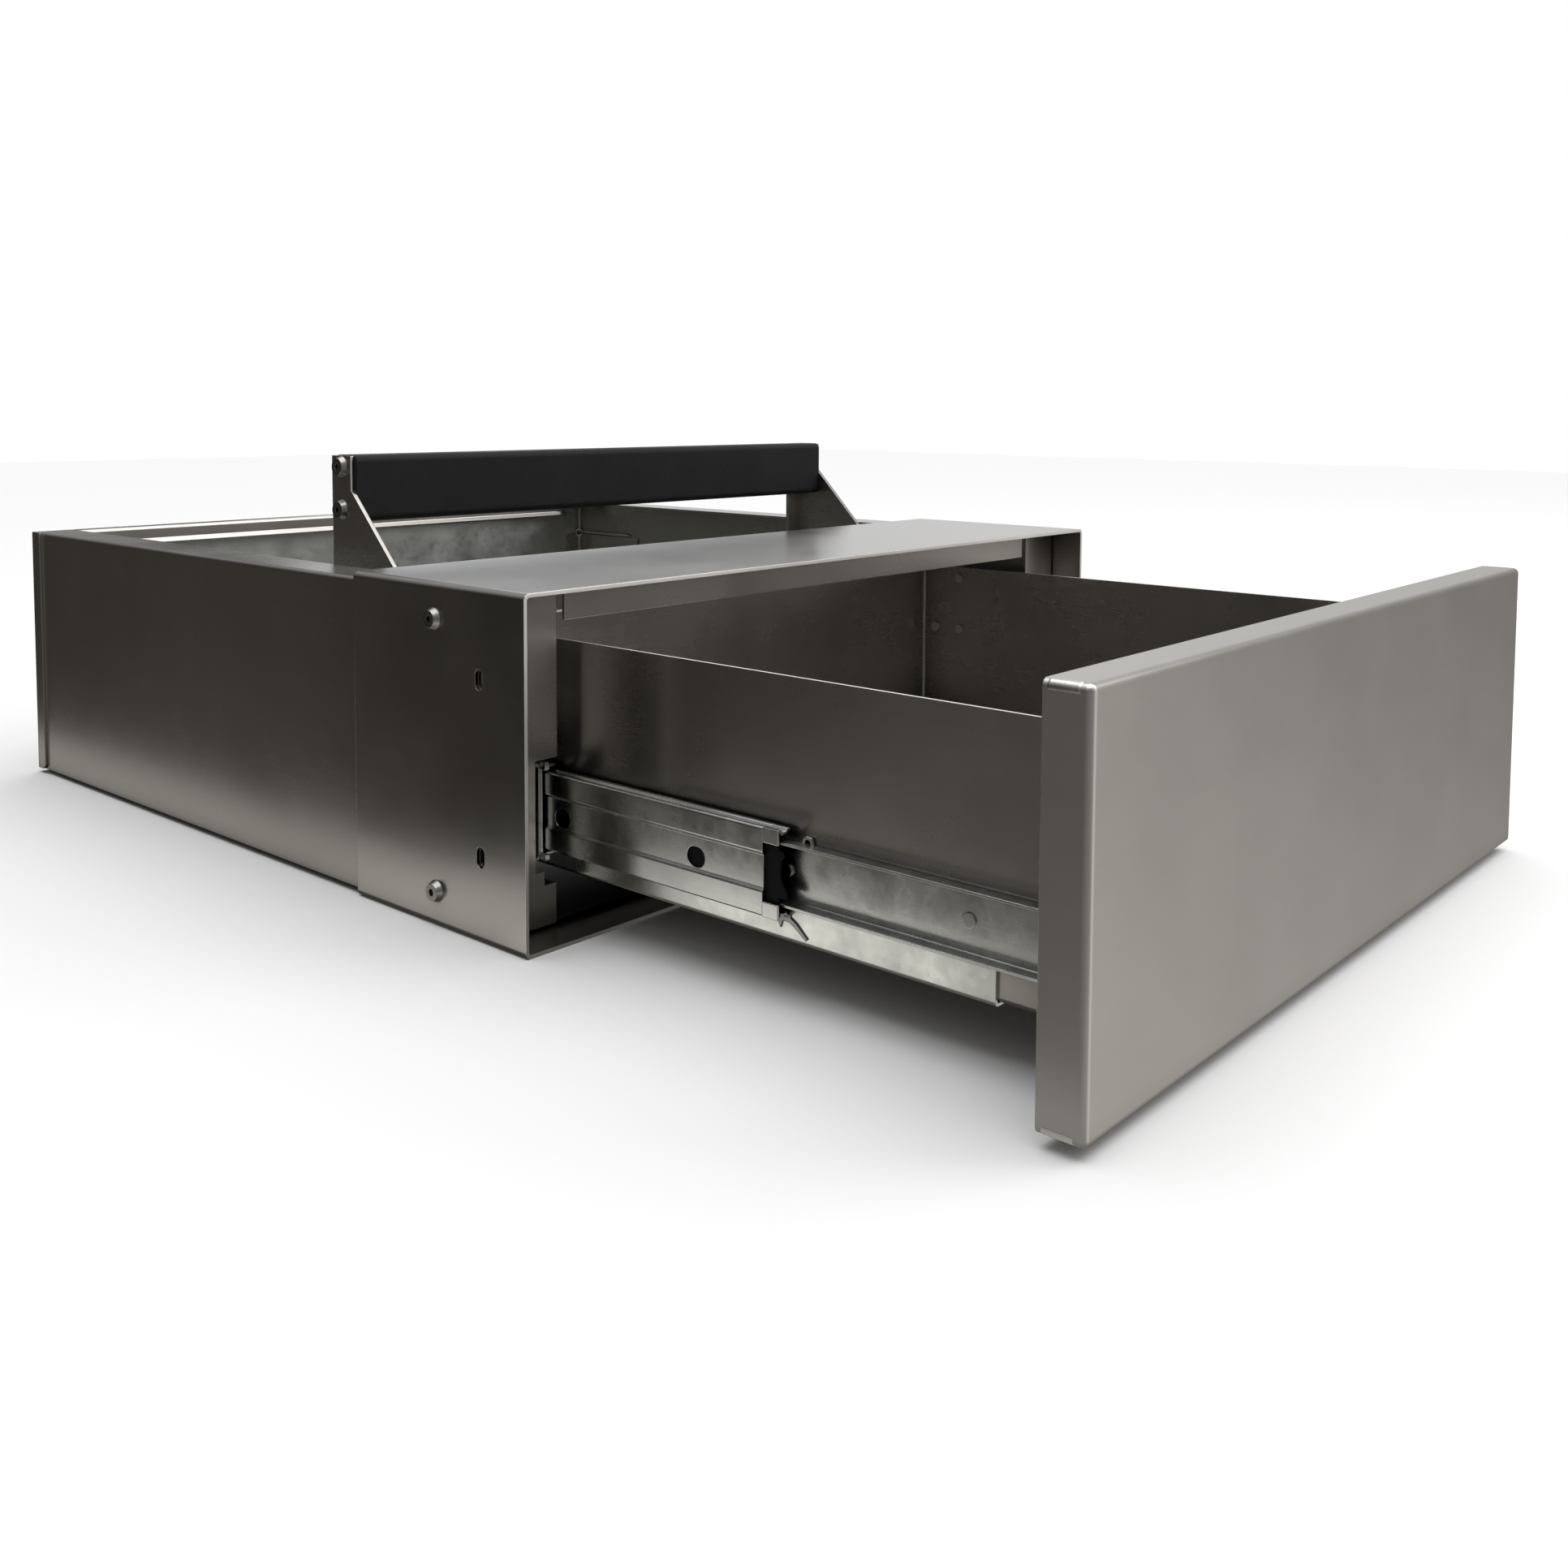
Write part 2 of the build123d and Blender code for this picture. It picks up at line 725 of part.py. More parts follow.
outer_cage_web = (middle_web + web_line) / 2
outer_cage_line = bead_line + slide_metal / 2 + cage_metal
outer_cage_front = slide_front + outer_cage_setback
outer_cage, outer_balls = cage(outer_cage_web, outer_cage_line, outer_ball_line, outer_cage_front)
inner_cage_front = middle_front - inner_cage_lead
inner_cage, inner_balls = cage(inner_cage_web, inner_ball_line, inner_ball_line, inner_cage_front)
write_pair(outer_cage, "outer_cage")
write_pair(outer_balls, "outer_balls")
write_pair(inner_cage, "inner_cage")
write_pair(inner_balls, "inner_balls")

# a hat channel carries the fixed rail on the tub's side
channel_web = slide_thickness + channel_metal / 2
channel_foot_line = tub_half - tub_wall - drawer_half - channel_metal / 2
channel_half = slide_half + channel_margin
channel_foot_end = slide_centre - sleeve_screw_edge - nut_across_flats / 2 - channel_nut_gap
with BuildPart() as slide_channel:
    with BuildSketch(facing_front(slide_front + slide_length)):
        with BuildLine():
            FilletPolyline(
                *mirrored_path(
                    (channel_foot_line, channel_foot_end),
                    (channel_foot_line, channel_half),
                    (channel_web, channel_half),
                ),
                radius=channel_bend,
            )
        trace(line_width=channel_metal)
    extrude(amount=slide_length)
    add(cabinet_rivet_holes.part, mode=Mode.SUBTRACT)
write_pair(slide_channel, "slide_channel")

shank = slide_metal + channel_metal
shank_middle = slide_face + channel_metal - shank / 2
head_middle = slide_face + channel_metal + rivet_head_height / 2
with BuildPart() as cabinet_rail_rivets:
    for side in (-1, 1):
        for y, z in cabinet_rivet_places:
            with Locations((side * shank_middle, y, z)):
                Cylinder(rail_rivet_radius, shank, rotation=(0, 90, 0))
            with Locations((side * head_middle, y, z)):
                Cylinder(rivet_head_radius, rivet_head_height, rotation=(0, 90, 0))
write(cabinet_rail_rivets, "cabinet_rail_rivets")


def wall_rivets(places, plate, shank_radius, head_radius):
    """Rivets through a drawer side and the plate on its outside, headed at both ends."""
    with BuildPart() as rivets:
        for side in (-1, 1):
            inner = side * (drawer_half - drawer_wall)
            outer = side * (drawer_half + plate)
            for y, z in places:
                with Locations(((inner + outer) / 2, y, z)):
                    Cylinder(shank_radius, drawer_wall + plate, rotation=(0, 90, 0))
                with Locations(
                    (inner - side * rivet_head_height / 2, y, z),
                    (outer + side * rivet_head_height / 2, y, z),
                ):
                    Cylinder(head_radius, rivet_head_height, rotation=(0, 90, 0))
    return rivets


write(
    wall_rivets(drawer_rivet_places, slide_metal, rail_rivet_radius, rivet_head_radius),
    "drawer_rail_rivets",
)

# ---------------------------------------------------------------------- handle
bracket_edge = handle_front + bracket_edge_setback
bracket_top = handle_top - bracket_top_drop
slant_top = handle_top - bracket_slant_drop
handle_middle = (handle_bottom + handle_top) / 2
handle_screw_y = (bracket_edge + handle_back) / 2
core_bottom = handle_bottom + grip_wall
core_top = handle_top - grip_wall
handle_screw_places = [
    (handle_screw_y, core_bottom + handle_screw_edge),
    (handle_screw_y, core_top - handle_screw_edge),
]
with BuildPart() as handle_bracket:
    with BuildSketch(facing_right(-bracket_face)):
        with BuildLine():
            Polyline(
                (drawer_back - bracket_overlap, bracket_arm_bottom),
                (bracket_back, bracket_arm_bottom),
                (bracket_back, bracket_top),
                (bracket_edge, bracket_top),
                (bracket_edge, slant_top),
                (bracket_edge - (slant_top - bracket_arm_top), bracket_arm_top),
                (drawer_back - bracket_overlap, bracket_arm_top),
                close=True,
            )
        make_face()
        fillet(vertices().group_by(Axis.X)[0], radius=bracket_corner)
        with Locations(*handle_screw_places):
            Circle(handle_screw_radius + screw_play, mode=Mode.SUBTRACT)
    extrude(amount=bracket_metal)
    box_between(
        (-bracket_face, bracket_back - bracket_metal, bracket_arm_bottom),
        (-bracket_face + bracket_return, bracket_back, bracket_top),
    )
    outer_edges = handle_bracket.edges().filter_by(Axis.Z).group_by(Axis.X)[0]
    outer_corner = outer_edges.sort_by(Axis.Y)[-1]
    fillet(outer_corner, radius=bracket_bend)
    add(rivet_holes.part, mode=Mode.SUBTRACT)
write_pair(handle_bracket, "handle_bracket")

write(
    wall_rivets(
        bracket_rivet_places, bracket_metal, bracket_rivet_radius, bracket_rivet_head
    ),
    "bracket_rivets",
)

# a flat bar between the brackets, wrapped in a firm black grip
with BuildPart() as handle_core:
    box_between(
        (-drawer_half, handle_front + grip_wall, core_bottom),
        (drawer_half, handle_back - grip_wall, core_top),
    )
    for side in (-1, 1):
        for y, z in handle_screw_places:
            with Locations((side * (drawer_half - handle_hole_depth / 2), y, z)):
                Cylinder(
                    handle_screw_radius + screw_play,
                    handle_hole_depth,
                    rotation=(0, 90, 0),
                    mode=Mode.SUBTRACT,
                )
write(handle_core, "handle_core")

with BuildPart() as handle_grip:
    with BuildSketch(facing_right(-drawer_half)):
        with Locations(((handle_front + handle_back) / 2, handle_middle)):
            RectangleRounded(handle_depth, handle_height, handle_round)
            Rectangle(
                handle_depth - 2 * grip_wall, handle_height - 2 * grip_wall, mode=Mode.SUBTRACT
            )
    extrude(amount=2 * drawer_half)
write(handle_grip, "handle_grip")

with BuildPart() as handle_screws:
    for side in (-1, 1):
        outward = facing_out(side, bracket_face)
        for y, z in handle_screw_places:
            place = (y, side * z)
            with BuildSketch(outward):
                with Locations(place):
                    Circle(handle_head_radius)
            extrude(amount=handle_head_height, taper=button_head_taper)
            with BuildSketch(outward.offset(handle_head_height - socket_depth)):
                with Locations(place):
                    RegularPolygon(socket_radius, 6)
            extrude(amount=socket_depth, mode=Mode.SUBTRACT)
            with BuildSketch(outward):
                with Locations(place):
                    Circle(handle_screw_radius)
            extrude(amount=-handle_screw_length)
write(handle_screws, "handle_screws")

# rubber bumpers on the tub's rear wall stop the brackets when the drawer is home
bumper_x = bracket_face - bracket_return / 2 - bracket_metal / 2
bumper_y = tub_back - tub_wall - bumper_length / 2
bumper_z = bracket_arm_bottom + bumper_rise
with BuildPart() as closing_bumpers:
    for side in (-1, 1):
        with Locations((side * bumper_x, bumper_y, bumper_z)):
            Cylinder(bumper_radius, bumper_length, rotation=(90, 0, 0))
write(closing_bumpers, "closing_bumpers")

print(f"slides are {slide_thickness:.1f} mm thick, middle rails move {middle_share * travel:.1f} mm")
print(f"drawer {2 * drawer_half:.1f} by {drawer_length:.1f} mm, tub {tub_back - jamb_y:.1f} mm long")
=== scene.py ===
import math

import bmesh
import bpy
from mathutils import Matrix, Vector


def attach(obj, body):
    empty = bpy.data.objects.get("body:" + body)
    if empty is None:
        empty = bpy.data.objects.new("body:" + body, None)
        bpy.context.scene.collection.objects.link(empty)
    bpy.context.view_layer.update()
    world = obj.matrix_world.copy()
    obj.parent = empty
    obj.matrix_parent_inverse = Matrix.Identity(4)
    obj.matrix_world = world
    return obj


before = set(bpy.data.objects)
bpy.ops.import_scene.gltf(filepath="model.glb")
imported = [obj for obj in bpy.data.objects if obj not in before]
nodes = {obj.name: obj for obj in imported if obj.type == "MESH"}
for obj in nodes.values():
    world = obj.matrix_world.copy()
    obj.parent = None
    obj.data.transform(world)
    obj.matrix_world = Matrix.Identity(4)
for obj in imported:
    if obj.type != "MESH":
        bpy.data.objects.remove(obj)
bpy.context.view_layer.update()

hands = ((-1, "left"), (1, "right"))

# Surface detail: depths in metres, grain as waves a metre (along it, across it)
edge_ease = 0.0005
sheet_relief = 0.0005
zinc_relief = 0.0004
scratch_grain = (12.0, 2600.0)
streak_grain = (4.0, 420.0)
drawn_grain = (10.0, 700.0)
smudges_per_metre = 14.0
waves_per_metre = 9.0
clouds_per_metre = 38.0
crystals_per_metre = 260.0
nicks_per_metre = 420.0
facing = 0.7

# ------------------------------------------------------------------ node helpers


def new_material(name):
    """An empty node material, with its tree and its Principled shader."""
    mat = bpy.data.materials.new(name)
    mat.use_nodes = True
    return mat, mat.node_tree, mat.node_tree.nodes["Principled BSDF"]


def add(tree, kind, **settings):
    """A node of that kind with its properties set, and inputs set by name under inputs."""
    node = tree.nodes.new(kind)
    inputs = settings.pop("inputs", {})
    for key, value in settings.items():
        setattr(node, key, value)
    for key, value in inputs.items():
        socket = node.inputs[key]
        if isinstance(value, bpy.types.NodeSocket):
            tree.links.new(value, socket)
        else:
            socket.default_value = value
    return node


def maths(tree, operation, a, b=None):
    """The output of a Math node on sockets or numbers."""
    given = {0: a} if b is None else {0: a, 1: b}
    return add(tree, "ShaderNodeMath", operation=operation, inputs=given).outputs[0]


def weighted(tree, *terms):
    """The sum of (value, weight) pairs."""
    total = None
    for value, weight in terms:
        part = maths(tree, "MULTIPLY", value, weight)
        total = part if total is None else maths(tree, "ADD", total, part)
    return total


def spread(tree, value, low, high, to_low, to_high):
    """value mapped from low..high to to_low..to_high, clamped."""
    limits = {"From Min": low, "From Max": high, "To Min": to_low, "To Max": to_high}
    return add(tree, "ShaderNodeMapRange", inputs={"Value": value, **limits}).outputs["Result"]


def noise(tree, vector, scale, detail=2.0, rough=0.5):
    """The height of a noise texture."""
    look = {"Vector": vector, "Scale": scale, "Detail": detail, "Roughness": rough}
    return add(tree, "ShaderNodeTexNoise", inputs=look).outputs["Fac"]


def blend_colours(tree, factor, a, b):
    """Colour a where factor is 0 and b where it is 1."""
    mix = add(tree, "ShaderNodeMix", data_type="RGBA", inputs={0: factor, 6: a, 7: b})
    return mix.outputs[2]


def rgb(r, g, b):
    return (r, g, b, 1.0)


def painted_crevice_shade(tree, colour, reach, least):
    """Painted shade: colour darkened, down to least of it, where other surfaces are within reach."""
    near = add(tree, "ShaderNodeAmbientOcclusion", samples=10, inputs={"Distance": reach}).outputs["AO"]
    shade = spread(tree, near, 0.15, 0.75, least, 1.0)
    darker = add(tree, "ShaderNodeVectorMath", operation="SCALE", inputs={0: colour, "Scale": shade})
    return darker.outputs[0]


def worked_normal(tree, height, distance, strength=1.0):
    """The normal with its sharp edges eased and a height field pressed into it."""
    eased = add(tree, "ShaderNodeBevel", samples=6, inputs={"Radius": edge_ease}).outputs[0]
    relief = {"Strength": strength, "Distance": distance, "Height": height, "Normal": eased}
    return add(tree, "ShaderNodeBump", inputs=relief).outputs[0]


def sheet_plane(tree):
    """Object coordinates, and those in the plane of each face: along its grain, and across it.

    The grain runs along X on faces that look along Y or Z, and along Y on faces that look
    along X.
    """
    place = add(tree, "ShaderNodeTexCoord").outputs["Object"]
    x, y, z = add(tree, "ShaderNodeSeparateXYZ", inputs={0: place}).outputs
    normal = add(tree, "ShaderNodeNewGeometry").outputs["True Normal"]
    nx, ny, nz = add(tree, "ShaderNodeSeparateXYZ", inputs={0: normal}).outputs
    side_on = maths(tree, "GREATER_THAN", maths(tree, "ABSOLUTE", nx), facing)
    flat_on = maths(tree, "GREATER_THAN", maths(tree, "ABSOLUTE", nz), facing)
    along = add(tree, "ShaderNodeMix", inputs={0: side_on, 2: x, 3: y}).outputs[0]
    across = add(tree, "ShaderNodeMix", inputs={0: flat_on, 2: z, 3: y}).outputs[0]
    return place, along, across


def grained(tree, along, across, grain):
    """Noise stretched along the grain, with so many waves a metre along and across it."""
    stretched = {0: maths(tree, "MULTIPLY", along, grain[0]), 1: maths(tree, "MULTIPLY", across, grain[1])}
    return noise(tree, add(tree, "ShaderNodeCombineXYZ", inputs=stretched).outputs[0], 1.0, 3.0, 0.6)


def grain_tangent(tree):
    """The direction across the grain, which highlights stretch along."""
    normal = add(tree, "ShaderNodeNewGeometry").outputs["Normal"]
    sides = add(tree, "ShaderNodeVectorMath", operation="ABSOLUTE", inputs={0: normal}).outputs[0]
    nx, ny, nz = add(tree, "ShaderNodeSeparateXYZ", inputs={0: sides}).outputs
    way = {0: maths(tree, "ADD", ny, nz), 1: nx, 2: 0.02}
    grain_way = add(tree, "ShaderNodeCombineXYZ", inputs=way).outputs[0]
    crossed = {0: normal, 1: grain_way}
    return add(tree, "ShaderNodeVectorMath", operation="CROSS_PRODUCT", inputs=crossed).outputs[0]


# --------------------------------------------------------------------- materials


def brushed(name, colour, dark, rough, reach=0.03, least=0.35):
    """Brushed or rolled sheet metal: fine scratches along the grain, smudges and slight waves, with
    painted shade where other surfaces are near.
    """
    mat, tree, shader = new_material(name)
    place, along, across = sheet_plane(tree)
    scratches = grained(tree, along, across, scratch_grain)
    streaks = grained(tree, along, across, streak_grain)
    smudges = noise(tree, place, smudges_per_metre, 4.0, 0.55)
    tone = weighted(tree, (streaks, 0.2), (smudges, 0.8))
    tint = blend_colours(tree, spread(tree, tone, 0.25, 0.75, 0.0, 1.0), rgb(*dark), rgb(*colour))
    # painted shade: the base colour darkens where other surfaces are within reach
    tree.links.new(painted_crevice_shade(tree, tint, reach, least), shader.inputs["Base Color"])
    smudged = spread(tree, smudges, 0.25, 0.75, rough - 0.02, rough + 0.03)
    finish = maths(tree, "ADD", smudged, spread(tree, streaks, 0.2, 0.8, -0.006, 0.006))
    tree.links.new(finish, shader.inputs["Roughness"])
    shader.inputs["Metallic"].default_value = 1.0
    shader.inputs["Anisotropic"].default_value = 0.6
    tree.links.new(grain_tangent(tree), shader.inputs["Tangent"])
    height = weighted(tree, (scratches, 0.0005), (noise(tree, place, waves_per_metre, 1.0, 0.4), 1.6))
    tree.links.new(worked_normal(tree, height, sheet_relief), shader.inputs["Normal"])
    return mat


def zinc(name, colour, dark, rough, patches=1.0, least=0.12):
    """Zinc-plated or galvanised steel: cloudy patches, small nicks and a soft sheen, with painted shade
    where other surfaces are near.
    """
    mat, tree, shader = new_material(name)
    place, along, across = sheet_plane(tree)
    drawn = grained(tree, along, across, drawn_grain)
    clouds = noise(tree, place, clouds_per_metre, 5.0, 0.6)
    cells = {"Vector": place, "Scale": crystals_per_metre}
    crystals = add(tree, "ShaderNodeTexVoronoi", inputs=cells).outputs["Color"]
    crystal = add(tree, "ShaderNodeSeparateColor", inputs={0: crystals}).outputs[0]
    nicks = noise(tree, place, nicks_per_metre, 3.0, 0.6)
    tone = weighted(tree, (clouds, 0.7), (crystal, 0.12 * patches), (drawn, 0.2))
    tint = blend_colours(tree, spread(tree, tone, 0.3, 0.75, 0.0, 1.0), rgb(*dark), rgb(*colour))
    # painted shade: the base colour darkens where other surfaces are within 12 mm
    tree.links.new(painted_crevice_shade(tree, tint, 0.012, least), shader.inputs["Base Color"])
    clouded = spread(tree, clouds, 0.3, 0.7, rough - 0.06, rough + 0.08)
    finish = maths(tree, "ADD", clouded, maths(tree, "MULTIPLY", crystal, 0.04 * patches))
    tree.links.new(finish, shader.inputs["Roughness"])
    shader.inputs["Metallic"].default_value = 1.0
    height = weighted(tree, (clouds, 0.15), (nicks, 0.03), (drawn, 0.012))
    tree.links.new(worked_normal(tree, height, zinc_relief), shader.inputs["Normal"])
    return mat


def moulded(name, colour, light, rough, pebble, depth, gloss=0.2):
    """Grained black plastic or rubber: a pebbled surface with slightly worn high spots."""
    mat, tree, shader = new_material(name)
    place = add(tree, "ShaderNodeTexCoord").outputs["Object"]
    grain = {"Vector": place, "Scale": pebble, "Smoothness": 0.6}
    cells = add(tree, "ShaderNodeTexVoronoi", feature="SMOOTH_F1", inputs=grain).outputs["Distance"]
    fine = noise(tree, place, pebble * 2.3, 2.0, 0.5)
    wear = noise(tree, place, 30.0, 4.0, 0.6)
    tint = blend_colours(tree, spread(tree, wear, 0.35, 0.75, 0.0, 1.0), rgb(*colour), rgb(*light))
    tree.links.new(tint, shader.inputs["Base Color"])
    tree.links.new(spread(tree, wear, 0.3, 0.7, rough - 0.05, rough + 0.06), shader.inputs["Roughness"])
    shader.inputs["Specular IOR Level"].default_value = gloss
    height = weighted(tree, (cells, -1.0), (fine, 0.5))
    tree.links.new(worked_normal(tree, height, depth, 0.6), shader.inputs["Normal"])
    return mat


def slide_plastic(name):
    return moulded(name, (0.003, 0.004, 0.004), (0.006, 0.007, 0.007), 0.5, 700.0, 0.00005, 0.1)


# reach and least of a brushed look, and least of a zinc look, set its painted crevice shade: how far it
# reaches and how dark it goes
looks = {
    "panel": brushed("panel_stainless", (0.56, 0.545, 0.52), (0.50, 0.487, 0.465), 0.33),
    "sleeve": brushed("sleeve_stainless", (0.56, 0.545, 0.52), (0.49, 0.475, 0.45), 0.24),
    "tub": brushed("tub_stainless", (0.52, 0.505, 0.48), (0.45, 0.435, 0.41), 0.26),
    # painted shade: the tub floor is coloured far darker than the other stainless, and its crevice shade
    # reaches far and goes almost black, for the shade under the drawer
    "tub_base": brushed("tub_base_painted_shade", (0.27, 0.26, 0.24), (0.21, 0.20, 0.185), 0.56, 0.12, 0.05),
    "drawer": brushed("drawer_stainless", (0.51, 0.49, 0.465), (0.44, 0.42, 0.395), 0.27, 0.045, 0.25),
    "bracket": brushed("bracket_stainless", (0.57, 0.55, 0.52), (0.49, 0.475, 0.45), 0.27, 0.012, 0.6),
    # painted highlight: cut edges coloured near white so they look as if they catch the light
    "edge": brushed("cut_edge_painted_highlight", (0.94, 0.92, 0.90), (0.86, 0.84, 0.82), 0.42, 0.004, 0.9),
    "slide": zinc("slide_zinc", (0.76, 0.77, 0.75), (0.64, 0.65, 0.63), 0.23, 0.6, 0.2),
    "galvanised": zinc("galvanised_sheet", (0.60, 0.62, 0.59), (0.46, 0.48, 0.45), 0.36, 2.0),
    "cage": slide_plastic("cage_black"),
    "balls": zinc("ball_steel", (0.80, 0.80, 0.80), (0.70, 0.70, 0.70), 0.10, 0.2),
    "screws": zinc("screw_steel", (0.42, 0.41, 0.39), (0.26, 0.255, 0.24), 0.27, 0.3),
    "bar": brushed("bar_aluminium", (0.72, 0.72, 0.73), (0.64, 0.64, 0.65), 0.34),
    "inner": zinc("inner_galvanised", (0.78, 0.81, 0.79), (0.64, 0.67, 0.65), 0.38, 1.2),
    "support": zinc("support_zinc", (0.93, 0.95, 0.91), (0.84, 0.86, 0.82), 0.28, 1.2, 0.8),
    "weld": zinc("weld_bead", (0.78, 0.77, 0.74), (0.56, 0.55, 0.52), 0.30, 0.3, 0.6),
    "plastic": slide_plastic("retainer_black"),
    "grip": moulded("grip_black", (0.010, 0.010, 0.011), (0.016, 0.016, 0.017), 0.5, 900.0, 0.00022, 0.15),
    "rubber": moulded("bumper_rubber", (0.010, 0.010, 0.010), (0.02, 0.02, 0.02), 0.62, 500.0, 0.0001),
}


def pairs(*stems):
    """The left and right node of each stem."""
    return [f"{stem}_{hand}" for stem in stems for _, hand in hands]


worn_by = {
    "sleeve": ["mouth_sleeve"],
    "tub": [*pairs("tub_side"), "tub_rear_wall", "top_rail"],
    "tub_base": ["tub_floor"],
    "bracket": pairs("rear_gusset", "handle_bracket"),
    "drawer": ["drawer_tray", "drawer_rear_wall", "drawer_front_wall"],
    "panel": ["front_panel", "panel_back_cover"],
    "support": pairs("support_angle"),
    "galvanised": [*pairs("slide_channel"), "panel_stiffeners"],
    "slide": [
        *pairs("cabinet_rail", "middle_rail", "drawer_rail"), "cabinet_rail_rivets", "drawer_rail_rivets",
        "bracket_rivets", "panel_screws", "sleeve_nuts",
    ],
    "cage": pairs("outer_cage", "inner_cage"),
    "balls": pairs("outer_balls", "inner_balls"),
    "screws": ["sleeve_screws", "handle_screws"],
    "bar": ["handle_core"],
    "grip": ["handle_grip"],
    "rubber": ["closing_bumpers"],
}
for look, names in worn_by.items():
    for name in names:
        nodes[name].data.materials.clear()
        nodes[name].data.materials.append(looks[look])


def face_finish(name, look, belongs):
    """The faces of a node that belongs(centre, normal) picks out get a second material."""
    mesh = nodes[name].data
    mesh.materials.append(looks[look])
    for face in mesh.polygons:
        if belongs(face.center, face.normal):
            face.material_index = 1


# cut edges of the sleeve's mouth and the drawer's top, coloured near white as a painted highlight, and the
# inside of the rear wall, in metres
face_finish("mouth_sleeve", "edge", lambda c, n: n.y < -0.9 and c.y < -0.070)
face_finish("drawer_tray", "edge", lambda c, n: n.z > 0.9 and c.z > 0.144)
face_finish("tub_rear_wall", "inner", lambda c, n: n.y < -0.5 and c.y > 0.472 and abs(c.x) < 0.2535)

# ----------------------------------------------------------------- small pieces
# Millimetres, as in the CAD model, from here to the studio
mm = 0.001
drawer_side = 209.0
slide_middle = 59.5
middle_lips_y = (-197.0, -187.9)
retainer_out = (7.5, 8.43)
hook_out = (10.4, 13.4)
clip_out = (0.4, 2.1)
lever_out = (1.55, 2.25)
rail_sheet = 1.2
tub_corner = (251.8, 473.0)
gusset_corner = (250.5, 472.0)
gusset_top = 138.6
drawer_corner_x = 207.2
panel_corner_x = 247.5


def prism(mesh, axis, span, outline, ease):
    """A prism of an outline in millimetres along x or y, with its edges eased."""
    ends = []
    for along in span:
        points = [(along, p, q) if axis == "x" else (p, along, q) for p, q in outline]
        ends.append([mesh.verts.new(Vector(point) * mm) for point in points])
    low, high = ends
    count = len(outline)
    faces = [mesh.faces.new(low), mesh.faces.new(list(reversed(high)))]
    for i in range(count):
        j = (i + 1) % count
        faces.append(mesh.faces.new((low[i], high[i], high[j], low[j])))
    bmesh.ops.recalc_face_normals(mesh, faces=faces)
    edges = list({edge for face in faces for edge in face.edges})
    bmesh.ops.bevel(mesh, geom=edges, offset=ease * mm, segments=2, profile=0.5, affect="EDGES")


def bead(mesh, start, end, radius, ripple=0.10, sides=12):
    """A rippled weld bead between two points in millimetres."""
    start, end = Vector(start) * mm, Vector(end) * mm
    run = end - start
    steps = max(8, int(run.length / (0.8 * mm)))
    across = run.orthogonal().normalized()
    beside = run.normalized().cross(across)
    rings = []
    for i in range(steps + 1):
        share = i / steps
        taper = min(1.0, 0.35 + 8 * min(share, 1 - share))
        reach = radius * mm * taper * (1 + ripple * math.sin(2.3 * i))
        middle = start + run * share
        rings.append([
            mesh.verts.new(middle + reach * (math.cos(t) * across + math.sin(t) * beside))
            for t in (2 * math.pi * k / sides for k in range(sides))
        ])
    for one, two in zip(rings, rings[1:]):
        for k in range(sides):
            n = (k + 1) % sides
            mesh.faces.new((one[k], one[n], two[n], two[k]))
    mesh.faces.new(rings[0])
    mesh.faces.new(rings[-1])


def eyelet(mesh, centre, way, radius, thick, turns=24, sides=8):
    """A ring round a small hole, facing a direction."""
    centre, way = Vector(centre) * mm, Vector(way).normalized()
    across = way.orthogonal().normalized()
    beside = way.cross(across)
    hoops = []
    for i in range(turns):
        t = 2 * math.pi * i / turns
        out = math.cos(t) * across + math.sin(t) * beside
        hoop = []
        for k in range(sides):
            w = 2 * math.pi * k / sides
            offset = out * (radius + thick * math.cos(w)) + way * thick * math.sin(w)
            hoop.append(mesh.verts.new(centre + offset * mm))
        hoops.append(hoop)
    for i in range(turns):
        one, two = hoops[i], hoops[(i + 1) % turns]
        for k in range(sides):
            n = (k + 1) % sides
            mesh.faces.new((one[k], two[k], two[n], one[n]))


def ribbon(path, thick):
    """The outline of a strip of that thickness bent along a path."""
    left, right = [], []
    for i, here in enumerate(path):
        here = Vector(here)
        ways = []
        if i:
            ways.append((here - Vector(path[i - 1])).normalized())
        if i < len(path) - 1:
            ways.append((Vector(path[i + 1]) - here).normalized())
        normals = [Vector((-way.y, way.x)) for way in ways]
        mitre = (normals[0] + normals[-1]).normalized()
        mitre *= thick / 2 / mitre.dot(normals[0])
        left.append(tuple(here + mitre))
        right.append(tuple(here - mitre))
    return left + right[::-1]


def outward(side, span):
    """The x positions of distances out from the drawer's wall, on one side."""
    return [side * (drawer_side + out) for out in span]


def piece(name, body, look, build, smooth=False):
    """A mesh piece made by build(mesh), with its look, riding on a body."""
    mesh = bmesh.new()
    build(mesh)
    bmesh.ops.recalc_face_normals(mesh, faces=mesh.faces)
    data = bpy.data.meshes.new(name)
    mesh.to_mesh(data)
    mesh.free()
    if smooth:
        data.shade_smooth()
    data.materials.append(looks[look])
    made = bpy.data.objects.new(name, data)
    bpy.context.scene.collection.objects.link(made)
    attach(made, body)


